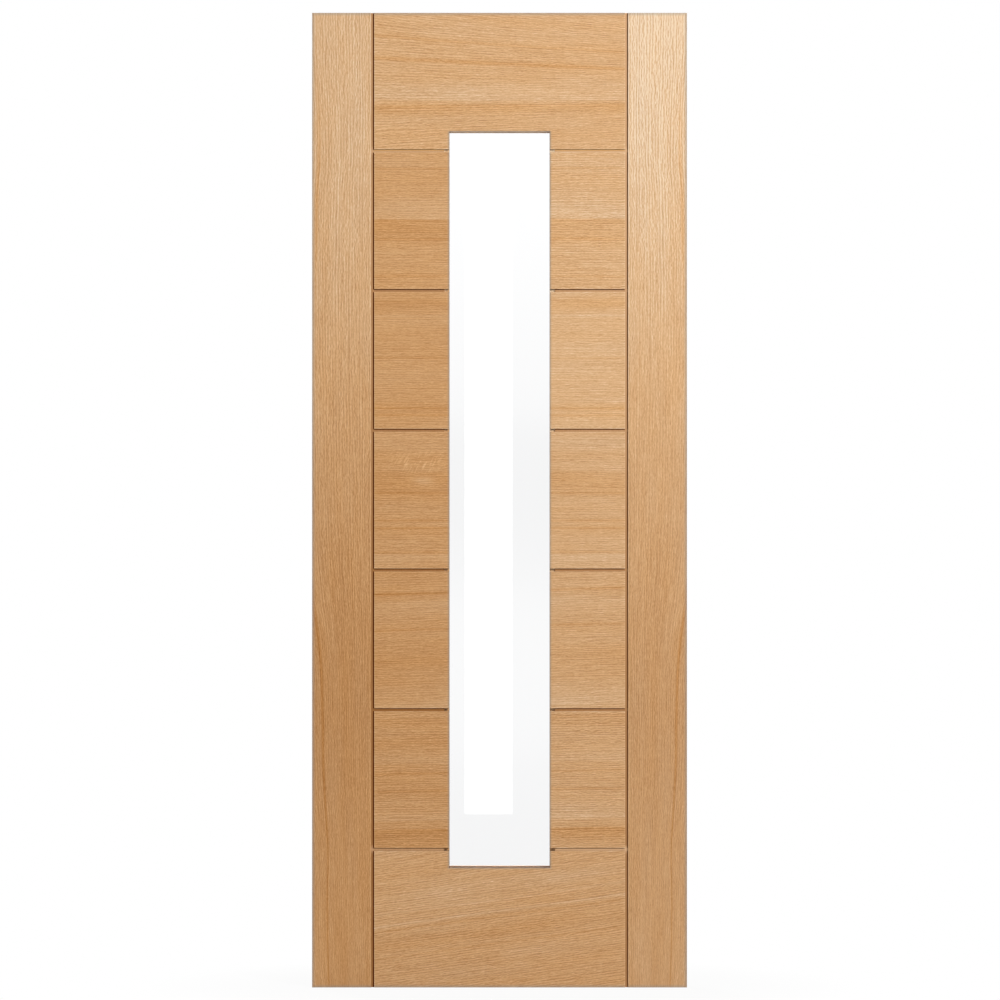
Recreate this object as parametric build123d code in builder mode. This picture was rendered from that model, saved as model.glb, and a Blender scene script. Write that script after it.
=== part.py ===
"""Glazed interior door leaf: an engineered oak leaf with one tall, narrow pane.

Frame, in millimetres: X runs across the leaf from the hinge edge, Y runs through its thickness
with the front face towards -Y, and Z runs up from the bottom edge. The origin is on the hinge
edge, at the foot of the leaf and in the middle of its thickness.

The leaf is a timber core with oak lippings on both long edges. Oak-veneered facing panels are glued
to both faces of it. The square grooves of a face are the gaps between its panels, so the floor of a
groove is the core. The pane is clamped between oak stops, which lie under the front panels, and
removable oak beads, which lie flush with the back panels.
"""

import os

from build123d import *

# Leaf
leaf_width = 762.0
leaf_height = 1981.0
core_thickness = 29.0
facing_thickness = 3.0
lipping_thickness = 8.0
arris_radius = 0.4

# Layout of a face, with stiles and rails measured to the middle of the grooves
stile_width = 122.9
rail_height = 280.5
panel_rows = 5
groove_width = 6.1

# Glazing, with the sight size measured between the edges of the front panels
sight_width = 205.0
sight_into_bottom_rail = 37.0
sight_into_top_rail = 40.0
bead_width = 10.0
glass_thickness = 4.0
glass_cover = 7.0
tape_thickness = 1.0
tape_show = 0.5

# Saw cuts in the upright stops: the lowest one, and how much of that depth each next one up keeps
stop_cut_depth = 5.5
stop_cut_ratio = 0.7

# Places across the leaf
middle_x = leaf_width / 2
groove_half = groove_width / 2
hinge_groove = stile_width
lock_groove = leaf_width - stile_width
hinge_sight = middle_x - sight_width / 2
lock_sight = middle_x + sight_width / 2
hinge_opening = hinge_sight - bead_width
lock_opening = lock_sight + bead_width

# Places up the leaf
panel_pitch = (leaf_height - 2 * rail_height) / panel_rows
groove_heights = [rail_height + row * panel_pitch for row in range(panel_rows + 1)]
bottom_sight = groove_heights[0] - sight_into_bottom_rail
top_sight = groove_heights[-1] + sight_into_top_rail
sight_height = top_sight - bottom_sight
sight_middle_z = (bottom_sight + top_sight) / 2
bottom_opening = bottom_sight - bead_width
top_opening = top_sight + bead_width

# Places through the thickness, from the middle outwards
glass_face = glass_thickness / 2
tape_face = glass_face + tape_thickness
core_face = core_thickness / 2
leaf_face = core_face + facing_thickness

os.makedirs("parts", exist_ok=True)


def save(builder, label):
    """Labels a finished piece and writes it to its own file."""
    builder.part.label = label
    export_step(builder.part, f"parts/{label}.step")


def flat_piece(label, x_span, z_span, y_span, opening=None, eased_end=None):
    """Writes a flat rectangular piece.

    An opening is a width and a height cut out around the middle of the pane. The eased end is the
    end of the Y span, 0 or -1, where the edges of the face are rounded.
    """
    with BuildPart() as piece:
        with BuildSketch(Plane.XZ.offset(-y_span[1])):
            with Locations((sum(x_span) / 2, sum(z_span) / 2)):
                Rectangle(x_span[1] - x_span[0], z_span[1] - z_span[0])
            if opening is not None:
                with Locations((middle_x, sight_middle_z)):
                    Rectangle(*opening, mode=Mode.SUBTRACT)
        extrude(amount=y_span[1] - y_span[0])
        if eased_end is not None:
            fillet(piece.faces().sort_by(Axis.Y)[eased_end].edges(), radius=arris_radius)
    save(piece, label)


# Core: stiles and rails, and the uprights beside the glass
core_span = (-core_face, core_face)
leaf_rise = (0, leaf_height)
opening_rise = (bottom_opening, top_opening)
flat_piece("hinge_stile_core", (lipping_thickness, hinge_groove), leaf_rise, core_span)
flat_piece("lock_stile_core", (lock_groove, leaf_width - lipping_thickness), leaf_rise, core_span)
flat_piece("bottom_rail_core", (hinge_groove, lock_groove), (0, bottom_opening), core_span)
flat_piece("top_rail_core", (hinge_groove, lock_groove), (top_opening, leaf_height), core_span)
flat_piece("hinge_upright_core", (hinge_groove, hinge_opening), opening_rise, core_span)
flat_piece("lock_upright_core", (lock_opening, lock_groove), opening_rise, core_span)

# Lippings on the long edges
flat_piece("hinge_lipping", (0, lipping_thickness), leaf_rise, core_span)
flat_piece("lock_lipping", (leaf_width - lipping_thickness, leaf_width), leaf_rise, core_span)

# Facing panels: the front ones reach the sight edge, the back ones stop at the beads
faces = {
    "front": ((-leaf_face, -core_face), 0, 0.0),
    "back": ((core_face, leaf_face), -1, bead_width),
}
rail_span = (hinge_groove + groove_half, lock_groove - groove_half)
rail_rises = {
    "bottom": (0, groove_heights[0] - groove_half),
    "top": (groove_heights[-1] + groove_half, leaf_height),
}
stile_spans = {
    "hinge": (0, hinge_groove - groove_half),
    "lock": (lock_groove + groove_half, leaf_width),
}
for face, (y_span, eased_end, margin) in faces.items():
    opening = (sight_width + 2 * margin, sight_height + 2 * margin)
    panel_spans = {
        "hinge": (hinge_groove + groove_half, hinge_sight - margin),
        "lock": (lock_sight + margin, lock_groove - groove_half),
    }
    for end, rise in rail_rises.items():
        flat_piece(f"{face}_{end}_rail", rail_span, rise, y_span, opening, eased_end)
    for side, span in stile_spans.items():
        flat_piece(f"{face}_{side}_stile", span, leaf_rise, y_span, None, eased_end)
    for side, span in panel_spans.items():
        for row in range(panel_rows):
            rise = (groove_heights[row] + groove_half, groove_heights[row + 1] - groove_half)
            flat_piece(f"{face}_{side}_panel_{row + 1}", span, rise, y_span, None, eased_end)

# Glazing strips: mitred outlines between the sight size and the opening in the core
sight_corners = [
    (hinge_sight, bottom_sight),
    (lock_sight, bottom_sight),
    (lock_sight, top_sight),
    (hinge_sight, top_sight),
]
opening_corners = [
    (hinge_opening, bottom_opening),
    (lock_opening, bottom_opening),
    (lock_opening, top_opening),
    (hinge_opening, top_opening),
]
upright_middles = {
    "hinge": (hinge_sight + hinge_opening) / 2,
    "lock": (lock_sight + lock_opening) / 2,
}
for start, side in enumerate(("bottom", "lock", "top", "hinge")):
    end = (start + 1) % 4
    outline = (sight_corners[start], opening_corners[start], opening_corners[end], sight_corners[end])

    # Stop under the front panels, with its saw cuts below the grooves
    with BuildPart() as stop:
        with BuildSketch(Plane.XZ.offset(tape_face)):
            with BuildLine():
                Polyline(*outline, close=True)
            make_face()
        extrude(amount=core_face - tape_face)
        if side in upright_middles:
            for row, height in enumerate(groove_heights):
                cut_depth = stop_cut_depth * stop_cut_ratio**row
                with Locations((upright_middles[side], -core_face + cut_depth / 2, height)):
                    Box(bead_width, cut_depth, groove_width, mode=Mode.SUBTRACT)
    save(stop, f"{side}_stop")

    # Bead flush with the back panels, cut where the grooves run across it
    with BuildPart() as bead:
        with BuildSketch(Plane.XZ.offset(-leaf_face)):
            with BuildLine():
                Polyline(*outline, close=True)
            make_face()
        extrude(amount=leaf_face - tape_face)
        long_edges = bead.faces().sort_by(Axis.Y)[-1].edges().sort_by(SortBy.LENGTH)[-2:]
        fillet(long_edges, radius=arris_radius)
        if side in upright_middles:
            for height in groove_heights:
                with Locations((upright_middles[side], leaf_face - facing_thickness / 2, height)):
                    Box(bead_width, facing_thickness, groove_width, mode=Mode.SUBTRACT)
    save(bead, f"{side}_bead")

# Pane, reaching under the stops and beads on all four sides
glass_span = (hinge_sight - glass_cover, lock_sight + glass_cover)
glass_rise = (bottom_sight - glass_cover, top_sight + glass_cover)
flat_piece("glass_pane", glass_span, glass_rise, (-glass_face, glass_face))

# Glazing tape on both faces of the pane, from its edges to a thin line that shows in the sight size
with BuildPart() as glazing_tape:
    with BuildSketch(Plane.XZ.offset(glass_face), Plane.XZ.offset(-tape_face)):
        with Locations((middle_x, sight_middle_z)):
            Rectangle(glass_span[1] - glass_span[0], glass_rise[1] - glass_rise[0])
            Rectangle(
                sight_width - 2 * tape_show,
                sight_height - 2 * tape_show,
                mode=Mode.SUBTRACT,
            )
    extrude(amount=tape_thickness)
save(glazing_tape, "glazing_tape")
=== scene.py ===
"""Looks of a glazed interior door leaf: oak veneer, solid oak, timber core, clear glass and tape.

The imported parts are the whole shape. This script gives each of them its finish and adds the floor,
the lights and the camera. All lengths are metres in the frame of the part: X across the leaf from
the hinge edge, Y through its thickness from front to back, Z up.
"""

import math
from dataclasses import dataclass, replace
from typing import NamedTuple

import bpy
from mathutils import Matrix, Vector


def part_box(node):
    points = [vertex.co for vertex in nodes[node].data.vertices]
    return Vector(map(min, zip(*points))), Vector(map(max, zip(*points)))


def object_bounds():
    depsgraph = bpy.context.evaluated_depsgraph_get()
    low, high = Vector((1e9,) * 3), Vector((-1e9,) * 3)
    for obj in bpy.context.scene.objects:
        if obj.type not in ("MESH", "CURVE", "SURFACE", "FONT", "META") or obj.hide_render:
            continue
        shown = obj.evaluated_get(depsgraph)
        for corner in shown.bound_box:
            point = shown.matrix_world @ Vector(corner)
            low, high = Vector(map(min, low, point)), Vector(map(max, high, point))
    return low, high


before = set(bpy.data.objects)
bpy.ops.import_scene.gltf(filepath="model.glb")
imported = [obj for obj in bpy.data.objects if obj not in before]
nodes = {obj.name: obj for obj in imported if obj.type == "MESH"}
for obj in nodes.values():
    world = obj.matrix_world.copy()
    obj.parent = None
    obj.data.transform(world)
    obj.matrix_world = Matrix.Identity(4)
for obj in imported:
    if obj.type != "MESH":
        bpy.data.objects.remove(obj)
cad_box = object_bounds()

# Places on the leaf, read from its parts
LEAF_LOW, LEAF_HIGH = (Vector(corner) for corner in cad_box)
LEAF_MIDDLE = (LEAF_LOW + LEAF_HIGH) / 2
FRONT_FACE = LEAF_LOW.y
BACK_FACE = LEAF_HIGH.y
LOW_GROOVE = (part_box("front_bottom_rail")[1].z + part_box("front_hinge_panel_1")[0].z) / 2
HIGH_GROOVE = (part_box("front_hinge_panel_5")[1].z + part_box("front_top_rail")[0].z) / 2
LOW_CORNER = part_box("front_hinge_panel_1")[0].z
ROW_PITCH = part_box("front_hinge_panel_2")[0].z - LOW_CORNER
GROOVE_WIDTH = LOW_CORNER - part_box("front_bottom_rail")[1].z
SIDE_CORNERS = (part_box("front_top_rail")[0].x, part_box("front_lock_stile")[0].x)
SIGHT_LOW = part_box("bottom_stop")[1].z
SIGHT_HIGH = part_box("top_stop")[0].z
SIGHT_MIDDLE = (SIGHT_LOW + SIGHT_HIGH) / 2
SIGHT_HALF_HEIGHT = (SIGHT_HIGH - SIGHT_LOW) / 2
SIGHT_HALF_WIDTH = LEAF_MIDDLE.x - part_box("hinge_stop")[1].x

# Camera: level with the middle of the leaf, and far enough to show the reveal of the glass
CAMERA_DISTANCE = 6.0
PICTURE_WIDTH = 2.0325
PICTURE_OFFSET = (0.0009, 0.0003)
SENSOR_WIDTH = 36.0


def linear(red, green, blue):
    """A colour given in screen values from 0 to 255, as the linear colour that shaders use."""
    values = []
    for screen_value in (red, green, blue):
        share = screen_value / 255
        values.append(share / 12.92 if share <= 0.04045 else ((share + 0.055) / 1.055) ** 2.4)
    return (*values, 1.0)


class Noise(NamedTuple):
    """A layer of noise: features a metre along and across the grain, its strength, seed and detail."""

    along: float
    across: float
    strength: float = 1.0
    seed: float = 0.0
    detail: float = 0.0


class Graph:
    """The nodes of one material, with short ways to add those used here."""

    def __init__(self, name):
        self.material = bpy.data.materials.new(name)
        self.material.use_nodes = True
        self.tree = self.material.node_tree
        self.shader = self.tree.nodes["Principled BSDF"]
        self.output = self.tree.nodes["Material Output"]

    def feed(self, socket, value):
        """Links a socket to an output, or sets it to a plain value."""
        if isinstance(value, bpy.types.NodeSocket):
            self.tree.links.new(value, socket)
        else:
            socket.default_value = value

    def finish(self, values):
        """Feeds inputs of the main shader by their names."""
        for name, value in values.items():
            self.feed(self.shader.inputs[name], value)

    def blend(self, factor, first, second):
        """Makes the surface a mix of two shaders."""
        node = self.tree.nodes.new("ShaderNodeMixShader")
        for socket, value in zip(node.inputs, (factor, first, second)):
            self.feed(socket, value)
        self.feed(self.output.inputs["Surface"], node.outputs[0])

    def math(self, operation, *values):
        """One step of arithmetic."""
        node = self.tree.nodes.new("ShaderNodeMath")
        node.operation = operation
        for socket, value in zip(node.inputs, values):
            self.feed(socket, value)
        return node.outputs[0]

    def total(self, *values):
        """The sum of values."""
        result = values[0]
        for value in values[1:]:
            result = self.math("ADD", result, value)
        return result

    def times(self, *values):
        """The product of values."""
        result = values[0]
        for value in values[1:]:
            result = self.math("MULTIPLY", result, value)
        return result

    def minus(self, first, second):
        """The difference of two values."""
        return self.math("SUBTRACT", first, second)

    def distance(self, value, place):
        """How far a value is from a place, either way."""
        return self.math("ABSOLUTE", self.minus(value, place))

    def span(self, value, low, high, to_low=0.0, to_high=1.0):
        """Maps a range of a value smoothly onto another, and stays within it."""
        node = self.tree.nodes.new("ShaderNodeMapRange")
        node.interpolation_type = "SMOOTHSTEP"
        for name, item in (("Value", value), ("From Min", low), ("From Max", high),
                           ("To Min", to_low), ("To Max", to_high)):
            self.feed(node.inputs[name], item)
        return node.outputs["Result"]

    def curve(self, value, points):
        """A smooth curve through points, whose places and values are shares from 0 to 1."""
        node = self.tree.nodes.new("ShaderNodeFloatCurve")
        course = node.mapping.curves[0]
        course.points[0].location = points[0]
        course.points[-1].location = points[-1]
        for point in points[1:-1]:
            course.points.new(*point)
        node.mapping.update()
        self.feed(node.inputs["Value"], value)
        return node.outputs["Value"]

    def split(self, vector):
        """The X, Y and Z of a vector."""
        node = self.tree.nodes.new("ShaderNodeSeparateXYZ")
        self.feed(node.inputs[0], vector)
        return node.outputs

    def place(self):
        """Where a point of the surface is, in the frame of the part."""
        return self.split(self.tree.nodes.new("ShaderNodeTexCoord").outputs["Object"])

    def facing(self):
        """Which way the surface faces there."""
        return self.split(self.tree.nodes.new("ShaderNodeTexCoord").outputs["Normal"])

    def vector(self, x, y, z):
        """A vector from its three values."""
        node = self.tree.nodes.new("ShaderNodeCombineXYZ")
        for socket, value in zip(node.inputs, (x, y, z)):
            self.feed(socket, value)
        return node.outputs[0]

    def noise(self, along, across, layer, seed=0.0):
        """A layer of noise about 0."""
        node = self.tree.nodes.new("ShaderNodeTexNoise")
        scaled = (self.times(along, layer.along), self.times(across, layer.across))
        vector = self.vector(*scaled, seed + layer.seed)
        for name, item in (("Vector", vector), ("Scale", 1.0), ("Detail", layer.detail)):
            self.feed(node.inputs[name], item)
        return self.times(self.minus(node.outputs["Fac"], 0.5), layer.strength)

    def ramp(self, factor, stops):
        """The colour at a place between stops."""
        node = self.tree.nodes.new("ShaderNodeValToRGB")
        elements = node.color_ramp.elements
        while len(elements) < len(stops):
            elements.new(0.5)
        for element, (position, colour) in zip(elements, stops):
            element.position = position
            element.color = colour
        self.feed(node.inputs["Fac"], factor)
        return node.outputs["Color"]

    def mix(self, factor, first, second):
        """A mix of two colours."""
        node = self.tree.nodes.new("ShaderNodeMix")
        node.data_type = "RGBA"
        for name, item in (("Factor", factor), ("A", first), ("B", second)):
            sockets = [socket for socket in node.inputs if socket.name == name and socket.enabled]
            self.feed(sockets[0], item)
        return [socket for socket in node.outputs if socket.enabled][0]

    def bump(self, height, distance):
        """A relief of the surface."""
        node = self.tree.nodes.new("ShaderNodeBump")
        for name, item in (("Height", height), ("Strength", 1.0), ("Distance", distance)):
            self.feed(node.inputs[name], item)
        return node.outputs["Normal"]


class Ring(NamedTuple):
    """A set of rings: from one ring to the next, how strong, and the seed of its drift."""

    pitch: float
    strength: float
    seed: float = 0.0


class Band(NamedTuple):
    """A darker or paler stretch of the grain: where it is strongest, and how far it fades each way."""

    place: float
    above: float
    below: float
    tone: float


class Streak(NamedTuple):
    """A band that shows only along part of the grain: the middle of that part and half its length."""

    band: Band
    middle: float
    half: float


class Spot(NamedTuple):
    """A soft patch on a leaf of veneer: its middle, its half sizes, and how much paler it is."""

    x: float
    z: float
    half_width: float
    half_height: float
    tone: float


class Row(NamedTuple):
    """The panels of one row: how pale, bold and crisp each is, how far it leans, and its bands."""

    tones: tuple
    contrasts: tuple
    crisps: tuple
    lean: float
    bands: tuple


@dataclass
class Figure:
    """How the grain of one leaf of veneer runs, how pale it is and where it turns bolder and cooler, which
    paints the glints and sheen of the light.
    """

    upright: bool = False
    face: float = FRONT_FACE
    mirrored: bool = False
    middle: tuple = (0.0, 0.0)
    fan: float = 0.0
    lean: float = 0.0
    wander: float = 0.008
    path: tuple = ()
    bands: tuple = ()
    bands_share: float = 1.0
    spots: tuple = ()
    flecks: tuple = ()
    tone: float = 0.5
    light_rise: tuple = ()
    turn: tuple = (0.5, 1.8)
    contrast: tuple = (1.0, 1.0)
    crisp: tuple = (1.0, 1.0)
    warmth: tuple = (0.5, 0.5)
    streak: tuple = ()
    highlit_edges: tuple = ()
    edge: tuple = ()
    shaded_rim: bool = True
    seed: float = 0.0


# A span is the two ends of a range of a value, and what it turns into at each of them

# Oak from its darkest grain to its palest, and how much redder and yellower its warm parts are
OAK = (
    (0.0, (148, 96, 48)),
    (0.25, (184, 132, 82)),
    (0.5, (212, 163, 112)),
    (0.75, (233, 191, 144)),
    (1.0, (249, 220, 183)),
)
WARMTH = (6, 0, -8)
DARK_WARMTH = -3.0
OAK_ROUGHNESS = (0.2, 0.8, 0.58, 0.46)
OAK_SPECULAR = 0.2

# One level of screen brightness, as a tone of the oak
LEVEL = 1 / 120

# Lines of the grain, which wander and ripple
WANDER = Noise(2.0, 9.0, detail=1.0)
RIPPLE = Noise(24.0, 60.0, 0.0009, 1.3)

# Two sets of fine rings, and which of them shows where
RINGS = (Ring(0.0044, 0.1, 4.4), Ring(0.0056, 0.07, 5.6))
RING_DRIFT = Noise(22.0, 100.0, 0.8)
RING_SHARES = Noise(100.0, 130.0, seed=3.7)
RING_SHARE_SPAN = (-0.2, 0.2)

# Fine grain with its pores, and streaks of fibre from long to short
FINE_GRAIN = Noise(60.0, 1300.0, seed=8.3)
PORE_SPAN = (0.08, 0.2)
PORE_TONE = -0.06
FIBRES = (
    Noise(9.0, 900.0, 0.24, 3.33),
    Noise(32.0, 950.0, 0.28, 11.84),
    Noise(105.0, 1000.0, 0.31, 38.85),
    Noise(230.0, 1050.0, 0.27, 85.1),
)
FINE_HEIGHT = 0.5
PORE_HEIGHT = -1.0
GRAIN_RELIEF = 0.00006

# Broad bands, clouds and changes of hue
BROAD_BANDS = Noise(0.9, 30.0, 0.05, 11.1, 1.0)
CLOUDS = Noise(5.0, 22.0, 0.07, 13.7)
HUES = Noise(6.0, 40.0, 0.3, 17.9)

# Rays that cross the grain
RAYS = Noise(75.0, 420.0, seed=5.3)
RAY_SPAN = (0.04, 0.2)
RAY_LEAN = -0.6

# Grain of the stiles: how far a line lies from the outer edge, over the height of the leaf
STILE_REACH = 0.1
STREAK_BEND = (0.02, 0.06, 1.0, 0.1)
GRAIN_BEND = (0.0, 0.12, 1.0, 0.1)
STILE_PATH = (
    (0.0, 0.047), (0.06, 0.0372), (0.1, 0.0372), (0.13, 0.0411), (0.165, 0.0349), (0.2, 0.0275),
    (0.236, 0.0231), (0.272, 0.022), (0.308, 0.0199), (0.344, 0.0158), (0.38, 0.006), (0.4, 0.0),
    (0.48, -0.012), (0.58, -0.016), (0.7, -0.019), (0.76, -0.0175), (0.811, -0.0153),
    (0.85, -0.0112), (0.89, -0.0112), (0.95, -0.0168), (1.0, -0.018),
)

# Painted highlight on the edges beside the grooves, which are paler
EDGE_HIGHLIGHT_WIDTH = 0.003
EDGE_HIGHLIGHT_TONE = 0.13
EDGE_TOLERANCE = 0.001

# Board under the veneer, which shows at the edges of the panels, made dark and red to deepen the shade in
# the grooves: partly painted shade
SUBSTRATE_WITH_SHADE = linear(84, 46, 16)
EDGE_TURN = (0.3, 0.6, 1.0, 0.0)

# Painted shade on the edges of the faces: a grey line along the outline of the leaf, and around the glass,
# where the top has less
RIM_SHADE = linear(150, 148, 142)
RIM_SHADE_SPAN = (0.0, 0.008, 0.5, 0.0)
SIGHT_SHADE_SPAN = (0.0, 0.005, 0.45, 0.0)
SIGHT_SHADE_RISE = (SIGHT_HIGH - 0.001, SIGHT_HIGH, 1.0, 0.3)

# Stops: their sides around the glass, with painted shade at the sides and at the foot of the pane and
# painted light under its head, and their tones, which show in the saw cuts below the grooves
REVEAL_SHADE = linear(122, 98, 74)
END_REVEAL_LIGHT_AND_SHADE = {"top_stop": linear(236, 208, 176), "bottom_stop": linear(84, 60, 40)}
# Painted light in the saw cuts: the stops turn paler further up and the lock stop is paler, which lightens
# the shade in the cuts
STOP_LIGHT_RISE = ((0.0, 0.4), (0.14, 0.45), (0.28, 0.45), (0.57, 0.58), (0.85, 0.75), (1.0, 0.75))
LOCK_STOP_LIGHT = 0.25

# Timber of the core, from the foot of the leaf to its top and from the hinge side to the lock side, with
# painted light: paler towards the top, towards the lock side and in the lowest and highest grooves
CORE = (
    (0.0, linear(174, 118, 66)),
    (0.5, linear(202, 150, 102)),
    (1.0, linear(232, 186, 140)),
)
CORE_GRAIN = Noise(14.0, 300.0, 0.3, 0.4, 2.0)
CORE_LIGHT_RISE = (0.5, 1.7, 0.0, 0.5)
CORE_LIGHT_DRIFT = (0.3, 0.6, 0.0, 0.35)
LOW_GROOVE_LIGHT = 0.7
HIGH_GROOVE_LIGHT = 0.35
LIT_GROOVE_HALF = 0.012
CORE_SPECULAR = 0.1

# Sawn ends of the core: strips of different shades, rings around the heart of each, and pores
STRIP_WIDTH = 0.038
STRIP_SHADES = Noise(7.3, 1.0, 0.5, 2.6)
CORE_RINGS = Ring(0.0032, 0.1)
CORE_PORES = Noise(900.0, 900.0, 0.3, 1.9)
HEART_DEPTH = 0.03
HEART_SPREAD = 0.06
END_FACING = 0.5
END_TONES = (0.9, 1.0, 0.35, -0.2)

# Painted shadow in the upper and right-hand corners of the grooves, where the lamp at the upper right
# casts shade, which the lowest and the highest of them lack
CORNER_SHADOW = linear(118, 44, 0)
CORNER_SHADOW_FADE = (0.0017, 0.0028, 1.0, 0.0)
LEVEL_SHADOW = 0.6
UPRIGHT_SHADOW = (0.3, 0.4, 1.0, 0.5)
UNSHADED_GROOVE_HALF = 0.03
# Painted light that pales the shaded upper corner of the highest groove
PAINTED_LIGHT_CORE = linear(255, 196, 118)

# Glazing tape with painted shade and light: dark at the foot of the pane, pale at its top
TAPE_LIGHT_AND_SHADE = (
    (0.0, linear(78, 58, 42)),
    (0.5, linear(160, 132, 106)),
    (1.0, linear(228, 204, 178)),
)
TAPE_GRAIN = Noise(900.0, 900.0, 0.3)
TAPE_FOOT = (SIGHT_LOW, SIGHT_LOW + 0.02, 0.0, 0.5)
TAPE_HEAD = (SIGHT_HIGH - 0.02, SIGHT_HIGH, 0.0, 0.5)

# Finishes without a figure
MATTE_ROUGHNESS = 0.8
GLASS_TINT = (0.95, 0.952, 0.955, 1.0)
GLASS_INDEX = 1.5

# Seeds of the panels, of the back and of the small pieces
PANEL_SEED = 12.0
ROW_SEED = 5.0
BACK_SEED = 60.0
PIECE_SEED = 1.7


def oak_stops(warmth):
    """The colours of the oak, shifted towards its warm parts or away from them."""
    stops = []
    for place, colour in OAK:
        shifted = [level + warmth * shift for level, shift in zip(colour, WARMTH)]
        stops.append((place, linear(*shifted)))
    return stops


def soft_bump(graph, value, middle, half):
    """1 at the middle of a stretch, fading to 0 at its ends."""
    return graph.span(graph.distance(value, middle), 0.0, half, 1.0, 0.0)


def soft_patch(graph, x, z, spot):
    """1 at the middle of a spot, fading to 0 around it."""
    return graph.times(soft_bump(graph, x, spot.x, spot.half_width),
                       soft_bump(graph, z, spot.z, spot.half_height))


def ray_flecks(graph, x, z, spot):
    """Pale rays that cross the grain steeply within a spot."""
    across = graph.total(x, graph.times(z, RAY_LEAN))
    rays = graph.span(graph.noise(z, across, RAYS), *RAY_SPAN)
    return graph.times(rays, soft_patch(graph, x, z, spot), spot.tone)


def rim_shade_share(graph, x, z):
    """How much painted edge shade a point of a face takes, which fades away from the edges of the leaf and
    of the glass.
    """
    across = graph.math("MINIMUM", x, graph.minus(LEAF_HIGH.x, x))
    up = graph.math("MINIMUM", z, graph.minus(LEAF_HIGH.z, z))
    outer = graph.math("MINIMUM", across, up)
    beside = graph.minus(graph.distance(x, LEAF_MIDDLE.x), SIGHT_HALF_WIDTH)
    over = graph.minus(graph.distance(z, SIGHT_MIDDLE), SIGHT_HALF_HEIGHT)
    inner = graph.math("MAXIMUM", beside, over)
    inner_share = graph.times(graph.span(inner, *SIGHT_SHADE_SPAN), graph.span(z, *SIGHT_SHADE_RISE))
    return graph.math("MAXIMUM", graph.span(outer, *RIM_SHADE_SPAN), inner_share)


def band_tone(graph, place, band):
    """The tone that a band adds at a place across the grain."""
    distance = graph.minus(place, band.place)
    upper = graph.span(distance, 0.0, band.above, band.tone, 0.0)
    return graph.times(upper, graph.span(distance, -band.below, 0.0))


def grain_lines(graph, figure, along, u, v):
    """Places across the grain on its lines, which fan, lean and wander: of the fine grain and of marks."""
    wander = graph.times(graph.noise(u, v, WANDER, figure.seed), figure.wander)
    ripple = graph.noise(u, v, RIPPLE, figure.seed)
    fan = graph.times(v, graph.total(graph.times(u, figure.fan), 1.0))
    lines = graph.total(fan, graph.times(u, figure.lean), wander, ripple)
    if not figure.path:
        return lines, lines
    share = graph.times(along, 1 / LEAF_HIGH.z)
    points = [(place, 0.5 + offset / STILE_REACH) for place, offset in figure.path]
    offset = graph.times(graph.minus(graph.curve(share, points), 0.5), STILE_REACH)
    marks = graph.minus(lines, graph.times(offset, graph.span(v, *STREAK_BEND)))
    lines = graph.minus(lines, graph.times(offset, graph.span(v, *GRAIN_BEND)))
    return lines, marks


def ring_tone(graph, u, lines, seed):
    """The tone of the fine rings, each set strong where the other one is weak."""
    share = graph.span(graph.noise(u, lines, RING_SHARES, seed), *RING_SHARE_SPAN)
    tone = 0.0
    for ring, strength in zip(RINGS, (share, graph.minus(1.0, share))):
        drift = graph.noise(u, lines, RING_DRIFT, seed + ring.seed)
        phase = graph.total(graph.times(lines, 1 / ring.pitch), drift)
        wave = graph.math("SINE", graph.times(phase, 2 * math.pi))
        tone = graph.total(graph.times(wave, strength, ring.strength), tone)
    return tone


def fibre_tone(graph, u, lines, pores, seed):
    """The tone of the pores and of the streaks of fibre."""
    tone = graph.times(pores, PORE_TONE)
    for layer in FIBRES:
        tone = graph.total(tone, graph.noise(u, lines, layer, seed))
    return tone


def broad_tone(graph, figure, along, u, lines, marks):
    """The tone of the broad bands and clouds, and of the bands and the streak that the figure gives."""
    tone = graph.total(
        graph.times(graph.noise(u, lines, BROAD_BANDS, figure.seed), figure.bands_share),
        graph.noise(u, lines, CLOUDS, figure.seed),
    )
    for band in figure.bands:
        tone = graph.total(tone, band_tone(graph, graph.total(marks, figure.middle[1]), band))
    if figure.streak:
        reach = soft_bump(graph, along, figure.streak.middle, figure.streak.half)
        tone = graph.total(tone, graph.times(band_tone(graph, marks, figure.streak.band), reach))
    return tone


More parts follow.
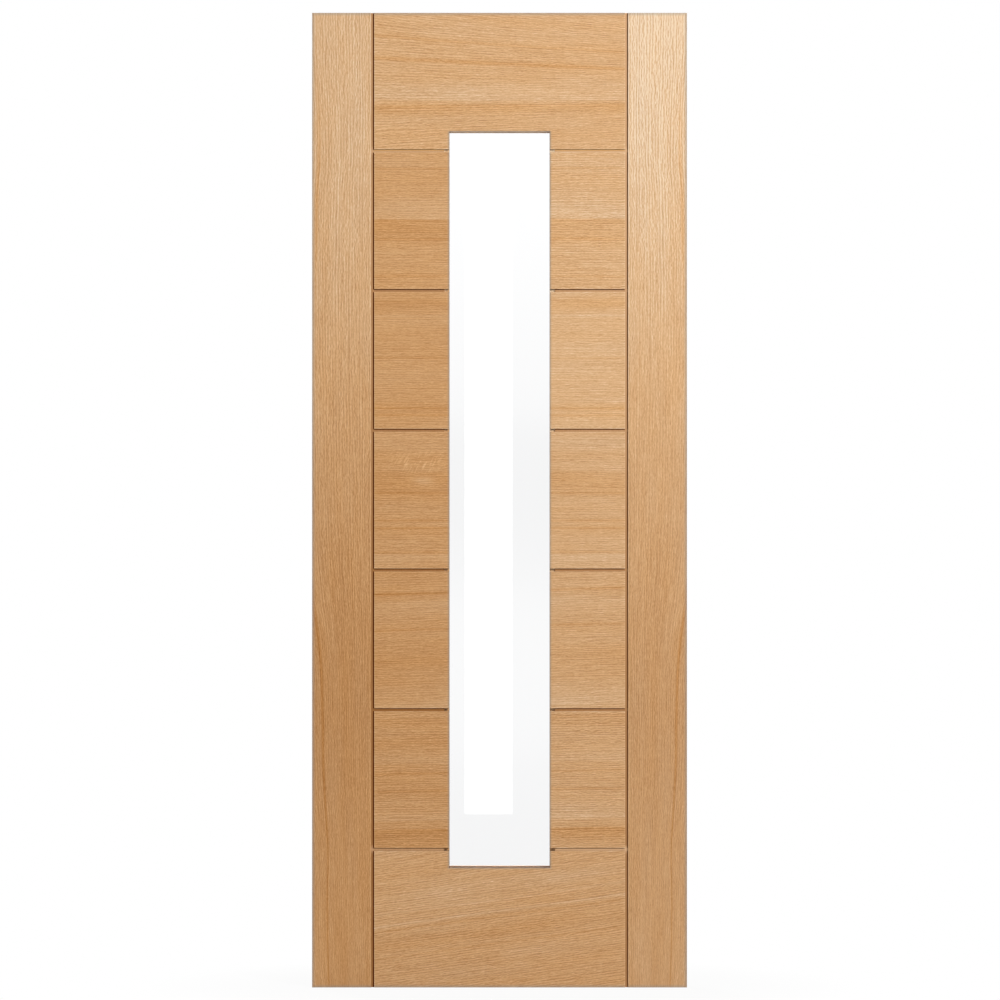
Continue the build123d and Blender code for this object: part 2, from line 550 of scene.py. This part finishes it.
def oak(name, figure):
    """Lacquered oak whose grain follows a figure."""
    graph = Graph(name)
    x, y, z = graph.place()
    along, across = (z, x) if figure.upright else (x, z)
    if figure.mirrored:
        across = graph.minus(LEAF_HIGH.x, across)
    across = graph.total(across, y, -figure.face)
    u = graph.minus(along, figure.middle[0])
    v = graph.minus(across, figure.middle[1])
    lines, marks = grain_lines(graph, figure, along, u, v)

    # Tone of the grain, which is bolder and crisper further up, as painted glints of the sheen
    fine = graph.noise(u, lines, FINE_GRAIN, figure.seed)
    pores = graph.span(fine, *PORE_SPAN)
    fibres = fibre_tone(graph, u, lines, pores, figure.seed)
    rings = ring_tone(graph, u, lines, figure.seed)
    broad = broad_tone(graph, figure, along, u, lines, marks)
    for spot in figure.spots:
        broad = graph.total(broad, graph.times(soft_patch(graph, x, z, spot), spot.tone))
    tone = graph.total(
        graph.times(fibres, graph.span(z, *figure.turn, *figure.contrast)),
        graph.times(rings, graph.span(z, *figure.turn, *figure.crisp)),
        broad,
        figure.tone,
    )

    # Painted highlights beside the grooves, flecks, and the painted light that changes the tone from the
    # foot of the leaf to its top
    for axis, place in figure.highlit_edges:
        distance = graph.distance(x if axis == "x" else z, place)
        tone = graph.total(tone, graph.span(distance, 0.0, EDGE_HIGHLIGHT_WIDTH, EDGE_HIGHLIGHT_TONE, 0.0))
    if figure.flecks:
        tone = graph.total(tone, ray_flecks(graph, x, z, figure.flecks))
    if figure.light_rise:
        tone = graph.total(tone, graph.curve(graph.times(z, 1 / LEAF_HIGH.z), figure.light_rise))

    # Colour, which is warmer where the figure is dark and cooler further up as painted sheen, and the
    # edges of the panel
    warm = graph.total(graph.noise(u, lines, HUES, figure.seed), graph.times(broad, DARK_WARMTH),
                       graph.span(z, *figure.turn, *figure.warmth))
    colour = graph.mix(warm, graph.ramp(tone, oak_stops(-1)), graph.ramp(tone, oak_stops(1)))
    if figure.edge:
        # Painted shade: a grey line along the outline of the leaf and around the glass
        if figure.shaded_rim:
            colour = graph.mix(rim_shade_share(graph, x, z), colour, RIM_SHADE)
        turned = graph.span(graph.math("ABSOLUTE", graph.facing()[1]), *EDGE_TURN)
        colour = graph.mix(turned, colour, figure.edge)
    height = graph.total(graph.times(fine, FINE_HEIGHT), graph.times(pores, PORE_HEIGHT))
    graph.finish({
        "Base Color": colour,
        "Roughness": graph.span(tone, *OAK_ROUGHNESS),
        "Specular IOR Level": OAK_SPECULAR,
        "Normal": graph.bump(height, GRAIN_RELIEF),
    })
    return graph.material


def end_grain(graph, x, y, strip, shade):
    """The tone of the sawn end of a strip: its shade, rings around its heart, and pores."""
    middle = graph.times(graph.total(strip, 0.5), STRIP_WIDTH)
    depth = graph.total(y, graph.times(shade, HEART_SPREAD), HEART_DEPTH)
    distance = graph.math("SQRT", graph.total(
        graph.math("POWER", graph.minus(x, middle), 2.0),
        graph.math("POWER", depth, 2.0),
    ))
    rings = graph.math("SINE", graph.times(distance, 2 * math.pi / CORE_RINGS.pitch))
    return graph.total(shade, graph.times(rings, CORE_RINGS.strength), graph.noise(x, y, CORE_PORES))


def groove_corners(graph, x, z):
    """How near a point in a groove is to its upper and to its right-hand corner, as two shares, where the
    painted shadow goes.
    """
    rows = graph.math("FRACT", graph.times(graph.minus(LOW_CORNER, z), 1 / ROW_PITCH))
    below = graph.times(rows, ROW_PITCH)
    level = graph.times(
        graph.span(below, *CORNER_SHADOW_FADE),
        graph.math("GREATER_THAN", x, SIDE_CORNERS[0]),
        graph.math("LESS_THAN", x, SIDE_CORNERS[1] - GROOVE_WIDTH),
    )
    upright = 0.0
    for corner in SIDE_CORNERS:
        upright = graph.total(graph.span(graph.distance(x, corner), *CORNER_SHADOW_FADE), upright)
    return level, graph.times(upright, graph.math("GREATER_THAN", below, GROOVE_WIDTH))


def timber_core(name, upright):
    """Core glued up from strips, seen in the floor of the grooves and at the ends of the leaf, with
    painted light and shadow in the grooves.
    """
    graph = Graph(name)
    x, y, z = graph.place()
    along, across = (z, x) if upright else (x, z)
    strip = graph.math("FLOOR", graph.times(across, 1 / STRIP_WIDTH))
    shade = graph.noise(strip, 0.0, STRIP_SHADES)
    if upright:
        shade = end_grain(graph, x, y, strip, shade)
    ends = graph.math("GREATER_THAN", graph.math("ABSOLUTE", graph.facing()[2]), END_FACING)
    # Painted light: paler further up, towards the lock side and in the lowest and highest grooves
    tone = graph.total(
        graph.noise(along, graph.total(across, y), CORE_GRAIN),
        graph.span(z, *CORE_LIGHT_RISE),
        graph.span(x, *CORE_LIGHT_DRIFT),
        graph.times(soft_bump(graph, z, LOW_GROOVE, LIT_GROOVE_HALF), LOW_GROOVE_LIGHT),
        graph.times(soft_bump(graph, z, HIGH_GROOVE, LIT_GROOVE_HALF), HIGH_GROOVE_LIGHT),
        graph.times(shade, ends),
        graph.times(ends, graph.span(z, *END_TONES)),
    )
    colour = graph.ramp(tone, CORE)

    # Painted shadow in the corners, and painted light in the upper corner of the highest groove
    level, upright_corner = groove_corners(graph, x, z)
    highest = soft_bump(graph, z, HIGH_GROOVE, UNSHADED_GROOVE_HALF)
    lowest = soft_bump(graph, z, LOW_GROOVE, UNSHADED_GROOVE_HALF)
    shadow_kept = graph.minus(LEVEL_SHADOW, graph.times(graph.total(highest, lowest), LEVEL_SHADOW))
    painted_shadow = graph.total(
        graph.times(level, shadow_kept),
        graph.times(upright_corner, graph.span(x, *UPRIGHT_SHADOW)),
    )
    colour = graph.mix(graph.times(painted_shadow, graph.minus(1.0, ends)), colour, CORNER_SHADOW)
    colour = graph.mix(graph.times(level, highest), colour, PAINTED_LIGHT_CORE)
    graph.finish({
        "Base Color": colour,
        "Roughness": MATTE_ROUGHNESS,
        "Specular IOR Level": CORE_SPECULAR,
    })
    return graph.material


def clear_glass(name):
    """Clear float glass that lets the lamps' light through."""
    graph = Graph(name)
    graph.finish({
        "Base Color": GLASS_TINT,
        "Transmission Weight": 1.0,
        "Roughness": 0.0,
        "IOR": GLASS_INDEX,
    })
    shadow = graph.tree.nodes.new("ShaderNodeLightPath").outputs["Is Shadow Ray"]
    through = graph.tree.nodes.new("ShaderNodeBsdfTransparent")
    graph.blend(shadow, graph.shader.outputs[0], through.outputs[0])
    return graph.material


def glazing_tape(name):
    """Glazing tape with painted shade at the foot of the pane and painted light at its top."""
    graph = Graph(name)
    x, _, z = graph.place()
    height = graph.total(graph.span(z, *TAPE_FOOT), graph.span(z, *TAPE_HEAD))
    tone = graph.total(graph.noise(x, z, TAPE_GRAIN), height)
    graph.finish({"Base Color": graph.ramp(tone, TAPE_LIGHT_AND_SHADE), "Roughness": MATTE_ROUGHNESS})
    return graph.material


# Half the width of one fine line of the grain
LINE_HALF = 0.0045


def line(height, levels):
    """One fine line of the grain."""
    return Band(height, LINE_HALF, LINE_HALF, levels * LEVEL)


# Figures of the front, with heights from the foot of the leaf. The two panels of a row share their bands.
# Their tones, like those of the rails, are partly painted light: paler further up and on the lock side.
FRONT_ROWS = {
    5: Row((0.49, 0.625), (0.97, 1.15), (0.9, 1.3), 0.0, (
        Band(1.5645, 0.06, 0.004, 7 * LEVEL),
        Band(1.5595, 0.004, 0.075, -10 * LEVEL),
        line(1.665, -6), line(1.521, -7), line(1.4457, -6),
    )),
    4: Row((0.47, 0.655), (0.87, 1.0), (0.7, 0.9), 0.0, (
        Band(1.3927, 0.016, 0.024, -8 * LEVEL),
        Band(1.1856, 0.006, 0.07, -6 * LEVEL),
        line(1.3643, 6), line(1.279, -6), line(1.1774, -9), line(1.1632, -8),
    )),
    3: Row((0.45, 0.58), (0.93, 0.97), (0.8, 0.85), 0.0, (
        Band(1.1124, 0.02, 0.04, 6 * LEVEL),
        Band(1.0433, 0.01, 0.06, -7 * LEVEL),
        Band(0.8767, 0.008, 0.03, 9 * LEVEL),
        line(1.0047, -8), line(0.9498, -8), line(0.9336, -10), line(0.8848, -6),
    )),
    2: Row((0.43, 0.55), (0.92, 1.03), (0.75, 1.05), 0.03, (
        Band(0.7853, 0.012, 0.05, 7 * LEVEL),
        Band(0.6654, 0.035, 0.035, -6 * LEVEL),
        Band(0.576, 0.05, 0.012, 9 * LEVEL),
        line(0.8056, -12), line(0.7324, -8),
    )),
    1: Row((0.425, 0.53), (1.0, 1.05), (1.1, 1.4), 0.02, (
        Band(0.5475, 0.006, 0.025, -6 * LEVEL),
        Band(0.4602, 0.035, 0.006, 5 * LEVEL),
        Band(0.3444, 0.06, 0.006, 8 * LEVEL),
        Band(0.322, 0.003, 0.05, -13 * LEVEL),
        line(0.4378, -8), line(0.4013, -6),
    )),
}
PANEL_WARMTHS = (0.65, 0.45)
RAY_FLECKS = Spot(0.215, 1.066, 0.09, 0.034, 0.2)
PALE_PATCH = Spot(0.225, 1.029, 0.036, 0.014, 0.12)
TOP_RAIL_BANDS = (
    Band(1.8775, 0.006, 0.008, -12 * LEVEL),
    line(1.916, -7),
    Band(1.805, 0.05, 0.005, 8 * LEVEL),
    Band(1.793, 0.004, 0.03, -10 * LEVEL),
)
BOTTOM_RAIL_BANDS = (
    Band(0.21, 0.035, 0.035, 5 * LEVEL),
    Band(0.115, 0.03, 0.025, -6 * LEVEL),
    line(0.1798, 6), line(0.1554, 9), line(0.1453, -7), line(0.0904, -6),
)
# Painted light on the stiles: paler further up, the lock stile most, as the lamp and the sheen at the
# upper right make them
HINGE_STILE_LIGHT = (
    (0.0, 0.42), (0.115, 0.39), (0.213, 0.35), (0.31, 0.34), (0.408, 0.38), (0.505, 0.43),
    (0.6, 0.51), (0.7, 0.58), (0.8, 0.635), (1.0, 0.66),
)
LOCK_STILE_LIGHT = (
    (0.0, 0.51), (0.115, 0.47), (0.213, 0.43), (0.31, 0.43), (0.408, 0.475), (0.505, 0.52),
    (0.6, 0.595), (0.7, 0.665), (0.8, 0.745), (1.0, 0.85),
)
STILE_BANDS = (Band(0.0, 0.005, 0.005, -18 * LEVEL),)
STILE_STREAK = Streak(Band(0.026, 0.005, 0.006, -18 * LEVEL), 1.6, 0.32)


def groove_edges(node):
    """The edges of a facing panel that lie along a groove, as an axis and a place on it."""
    low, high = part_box(node)
    sight_x = (LEAF_MIDDLE.x - SIGHT_HALF_WIDTH, LEAF_MIDDLE.x + SIGHT_HALF_WIDTH)
    free_x = (LEAF_LOW.x, LEAF_HIGH.x, *sight_x)
    free_z = (LEAF_LOW.z, LEAF_HIGH.z)
    edges = []
    for axis, places, free in (("x", (low.x, high.x), free_x), ("z", (low.z, high.z), free_z)):
        for place in places:
            if min(abs(place - other) for other in free) > EDGE_TOLERANCE:
                edges.append((axis, place))
    return tuple(edges)


def front_figures():
    """The figure of each piece of the front face."""
    stile = {
        "upright": True, "wander": 0.003, "path": STILE_PATH, "bands": STILE_BANDS, "bands_share": 2.0,
        "streak": STILE_STREAK, "tone": 0.02, "edge": SUBSTRATE_WITH_SHADE, "seed": 40.0,
    }
    figures = {
        "front_top_rail": Figure(
            middle=(LEAF_MIDDLE.x, 1.808), fan=0.64, bands=TOP_RAIL_BANDS, tone=0.59,
            contrast=(1.1, 1.1), crisp=(1.15, 1.15), edge=SUBSTRATE_WITH_SHADE, seed=3.0),
        "front_bottom_rail": Figure(
            middle=(LEAF_MIDDLE.x, 0.12), lean=-0.14, bands=BOTTOM_RAIL_BANDS, tone=0.52,
            contrast=(1.1, 1.1), crisp=(1.25, 1.25), edge=SUBSTRATE_WITH_SHADE, seed=9.0),
        # Stiles with painted light: paler further up
        "front_hinge_stile": Figure(
            light_rise=HINGE_STILE_LIGHT, contrast=(0.97, 1.05), crisp=(0.85, 1.55),
            warmth=(0.65, 0.3), **stile),
        "front_lock_stile": Figure(
            light_rise=LOCK_STILE_LIGHT, turn=(1.1, 1.9), contrast=(1.0, 1.15), crisp=(0.85, 2.1),
            warmth=(0.42, 0.17), mirrored=True, **stile),
    }
    for row, panels in FRONT_ROWS.items():
        low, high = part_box(f"front_hinge_panel_{row}")
        middle = (LEAF_MIDDLE.x, (low.z + high.z) / 2)
        sides = zip(("hinge", "lock"), PANEL_WARMTHS, panels.tones, panels.contrasts, panels.crisps)
        for side, warmth, tone, contrast, crisp in sides:
            figures[f"front_{side}_panel_{row}"] = Figure(
                middle=middle, lean=-panels.lean, bands=panels.bands, tone=tone,
                contrast=(contrast, contrast), crisp=(crisp, crisp), warmth=(warmth, warmth),
                edge=SUBSTRATE_WITH_SHADE, seed=PANEL_SEED + ROW_SEED * row)
    for node, figure in figures.items():
        # Painted highlights on the edges beside the grooves
        figure.highlit_edges = groove_edges(node)
    figures["front_hinge_panel_3"].flecks = RAY_FLECKS
    figures["front_hinge_panel_3"].spots = (PALE_PATCH,)
    return figures


def figure_of(node, number, front):
    """The figure of a piece of oak: on the front its own, on the back a like one, or else a plain one."""
    if node in front:
        return front[node]
    if node.startswith("back_"):
        twin = front[node.replace("back_", "front_", 1)]
        return replace(twin, face=BACK_FACE, flecks=(), spots=(), seed=twin.seed + BACK_SEED)
    low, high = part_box(node)
    middle = (low + high) / 2
    upright = high.z - low.z > high.x - low.x
    centre = (middle.z, middle.x) if upright else (middle.x, middle.z)
    figure = Figure(upright, middle=centre, seed=number * PIECE_SEED)
    if node.endswith("_stop"):
        # Painted light: paler stops further up and on the lock side, which lightens the shade in their saw
        # cuts
        figure.tone = LOCK_STOP_LIGHT if node == "lock_stop" else 0.0
        figure.light_rise = STOP_LIGHT_RISE
        # Painted shade on the reveals at the sides and foot of the pane, painted light on the one under
        # its head
        figure.edge = END_REVEAL_LIGHT_AND_SHADE.get(node, REVEAL_SHADE)
        figure.shaded_rim = False
    return figure


def dress_parts():
    """Gives each part its finish in place of its plain one."""
    rail_core = timber_core("rail_core", False)
    stile_core = timber_core("stile_core", True)
    front = front_figures()
    for number, node in enumerate(sorted(nodes)):
        if node == "glass_pane":
            material = clear_glass("clear_glass")
        elif node == "glazing_tape":
            material = glazing_tape("glazing_tape")
        elif node.endswith("_core"):
            material = rail_core if "rail" in node else stile_core
        else:
            material = oak(node, figure_of(node, number, front))
        slots = nodes[node].data.materials
        slots.clear()
        slots.append(material)


def seen_rays(tree):
    """1 for the rays that show something to the eye: straight, through the glass or reflected in it."""
    path = tree.nodes.new("ShaderNodeLightPath")
    seen = path.outputs["Is Camera Ray"]
    for ray in ("Is Transmission Ray", "Is Glossy Ray"):
        either = tree.nodes.new("ShaderNodeMath")
        either.operation = "MAXIMUM"
        tree.links.new(seen, either.inputs[0])
        tree.links.new(path.outputs[ray], either.inputs[1])
        seen = either.outputs[0]
    return seen


# Floor: grey in the light of the lamps, white to the eye, and less so close to the leaf
FLOOR_SIZE = 60.0
FLOOR_DROP = 0.0005
FLOOR_GREY = (0.5, 0.5, 0.5, 1.0)
FLOOR_ROUGHNESS = 0.9
FLOOR_WHITE = (0.1, 0.6, 0.94, 1.0)
SHADOW_SQUASH = 4.0


def floor():
    """Pale floor that keeps a faint shadow of the leaf and is white to the eye."""
    place = (LEAF_MIDDLE.x, 0.0, -FLOOR_DROP)
    bpy.ops.mesh.primitive_plane_add(size=FLOOR_SIZE, location=place)
    plane = bpy.context.object
    plane.name = "floor"
    graph = Graph("floor")
    graph.finish({"Base Color": FLOOR_GREY, "Roughness": FLOOR_ROUGHNESS})
    white = graph.tree.nodes.new("ShaderNodeEmission")
    x, y, _ = graph.place()
    away = graph.total(graph.times(x, x), graph.times(y, y, SHADOW_SQUASH))
    share = graph.times(seen_rays(graph.tree), graph.span(away, *FLOOR_WHITE))
    graph.blend(share, graph.shader.outputs[0], white.outputs[0])
    plane.data.materials.append(graph.material)


# Screen of the studio that shows in the glass: pale at the top, dark lower down, with a bright strip
SCREEN_DISTANCE = 0.3143 * CAMERA_DISTANCE
SCREEN_SIZE = (1.4, 2.0)
SCREEN_LEVEL = 2.5
SCREEN_SHADES = (
    (0.0, 0.0), (0.0145, 0.0), (0.12, 0.14), (0.2, 0.39), (0.31, 0.43), (0.415, 0.14),
    (0.522, 0.0), (0.629, 0.43), (0.7625, 0.68), (0.896, 0.9), (1.0, 1.0),
)
BRIGHT_SPAN = (-0.0948, 0.0353)
BRIGHT_FOOT = 0.1493


def screen():
    """Screen in front of the leaf that only reflections show."""
    width, height = SCREEN_SIZE
    place = (LEAF_MIDDLE.x, -SCREEN_DISTANCE, height / 2)
    bpy.ops.mesh.primitive_plane_add(size=1.0, location=place, rotation=(math.radians(90), 0.0, 0.0))
    plane = bpy.context.object
    plane.name = "screen"
    plane.scale = (width, height, 1.0)
    graph = Graph("screen")
    x, _, z = graph.split(graph.tree.nodes.new("ShaderNodeNewGeometry").outputs["Position"])
    across = graph.minus(x, LEAF_MIDDLE.x)
    strip = graph.times(
        graph.math("GREATER_THAN", across, BRIGHT_SPAN[0]),
        graph.math("LESS_THAN", across, BRIGHT_SPAN[1]),
        graph.math("GREATER_THAN", z, BRIGHT_FOOT),
    )
    shade = graph.curve(graph.times(z, 1 / height), SCREEN_SHADES)
    light = graph.tree.nodes.new("ShaderNodeEmission")
    graph.feed(light.inputs["Strength"], graph.times(graph.math("MAXIMUM", strip, shade), SCREEN_LEVEL))
    graph.feed(graph.output.inputs["Surface"], light.outputs[0])
    graph.material.cycles.emission_sampling = "NONE"
    plane.data.materials.append(graph.material)
    plane.visible_camera = False
    plane.visible_diffuse = False
    plane.visible_transmission = False
    plane.visible_shadow = False


# Light of the surroundings, which are white to the eye, and the lamps: place, size and power
SURROUNDINGS = 0.28
LAMPS = {
    "key": ((4.7, -5.0, 4.7), 0.5, 440.0),
    "back": ((-3.9, 5.0, 4.7), 2.0, 340.0),
}


def lamp(name, place, size, power):
    """Square lamp that points at the middle of the leaf."""
    data = bpy.data.lights.new(name, "AREA")
    data.size = size
    data.energy = power
    body = bpy.data.objects.new(name, data)
    body.location = place
    body.rotation_euler = (LEAF_MIDDLE - Vector(place)).to_track_quat("-Z", "Y").to_euler()
    body.visible_camera = False
    bpy.context.scene.collection.objects.link(body)


def studio():
    """White surroundings, a key light at the upper right and a softer light behind."""
    world = bpy.data.worlds.new("studio")
    bpy.context.scene.world = world
    world.use_nodes = True
    tree = world.node_tree
    background = tree.nodes["Background"]
    background.inputs["Color"].default_value = (1.0, 1.0, 1.0, 1.0)
    level = tree.nodes.new("ShaderNodeMapRange")
    level.inputs["To Min"].default_value = SURROUNDINGS
    level.inputs["To Max"].default_value = 1.0
    tree.links.new(seen_rays(tree), level.inputs["Value"])
    tree.links.new(level.outputs["Result"], background.inputs["Strength"])
    for name, values in LAMPS.items():
        lamp(name, *values)


def camera():
    """Camera in front of the leaf."""
    data = bpy.data.cameras.new("camera")
    data.sensor_width = SENSOR_WIDTH
    data.lens = SENSOR_WIDTH * CAMERA_DISTANCE / PICTURE_WIDTH
    body = bpy.data.objects.new("camera", data)
    across, up = PICTURE_OFFSET
    body.location = (LEAF_MIDDLE.x + across, FRONT_FACE - CAMERA_DISTANCE, LEAF_MIDDLE.z + up)
    body.rotation_euler = (math.radians(90), 0.0, 0.0)
    bpy.context.scene.collection.objects.link(body)
    bpy.context.scene.camera = body


dress_parts()
floor()
screen()
studio()
camera()
bpy.context.scene.view_settings.view_transform = "Standard"
